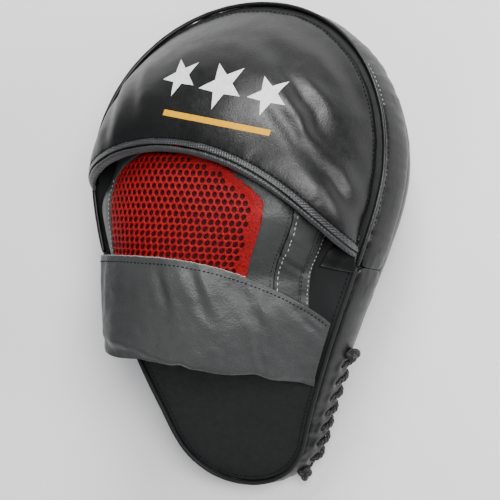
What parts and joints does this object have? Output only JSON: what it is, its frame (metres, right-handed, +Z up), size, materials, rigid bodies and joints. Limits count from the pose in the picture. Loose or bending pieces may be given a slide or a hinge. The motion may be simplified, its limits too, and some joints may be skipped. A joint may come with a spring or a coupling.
{
  "type": "focus mitt",
  "caption": "Curved padded focus mitt: layered striking pad, domed finger hood, hand cover with mesh window, thumb stall and a wrist cuff that opens on a hook-and-loop tab.",
  "frame": {"origin": "under the middle of the mitt's bounding box, on the surface that it rests on", "axes": "+Y from the heel to the fingers, +X to the thumb side, +Z up out of the back of the hand; the mitt lies on its strike face"},
  "size_m": [0.2188, 0.3202, 0.1255],
  "materials": {
    "gloss_leather": "gloss",
    "matt_leather": "satin",
    "grey_leather": "satin",
    "binding_tape": "satin",
    "red_mesh": "matte",
    "black_cloth": "matte",
    "foam": "matte",
    "waxed_cord": "satin",
    "hook_and_loop": "matte"
  },
  "bodies": {
    "pad": {"strike_cover": "gloss_leather", "target_foam": "foam", "core_foam": "foam", "backing_foam": "foam", "back_panel": "matt_leather", "head_side_strip": "gloss_leather", "heel_side_strip": "gloss_leather", "hood_welt": "gloss_leather", "heel_welt": "matt_leather", "finger_hood": "gloss_leather", "hood_padding": "foam", "hood_lining": "black_cloth", "hood_binding": "binding_tape", "hand_cover": "grey_leather", "mesh_panel": "red_mesh", "hand_cover_lining": "black_cloth", "thumb_stall": "grey_leather", "thumb_stall_hem": "grey_leather", "finger_stall_little": "black_cloth", "finger_stall_ring": "black_cloth", "finger_stall_middle": "black_cloth", "finger_stall_index": "black_cloth", "palm_ball": "foam", "cuff_foot": "grey_leather", "loop_patch": "hook_and_loop", "lace": "waxed_cord", "lace_knot_top": "waxed_cord", "lace_knot_heel": "waxed_cord"},
    "cuff": {"cuff_strap": "grey_leather", "cuff_padding": "foam"},
    "tab": {"cuff_tab": "grey_leather", "hook_patch": "hook_and_loop"}
  },
  "joints": [
    {"name": "cuff_swing", "type": "hinge", "parent": "pad", "child": "cuff", "pos_m": [-0.07786, -0.04099, 0.07595], "axis": [0.2399, -0.9605, -0.141], "range_deg": [0, 80]},
    {"name": "tab_peel", "type": "hinge", "parent": "cuff", "child": "tab", "pos_m": [0.02897, -0.05262, 0.10275], "axis": [-0.0306, -0.9828, -0.1823], "range_deg": [0, 75]}
  ]
}
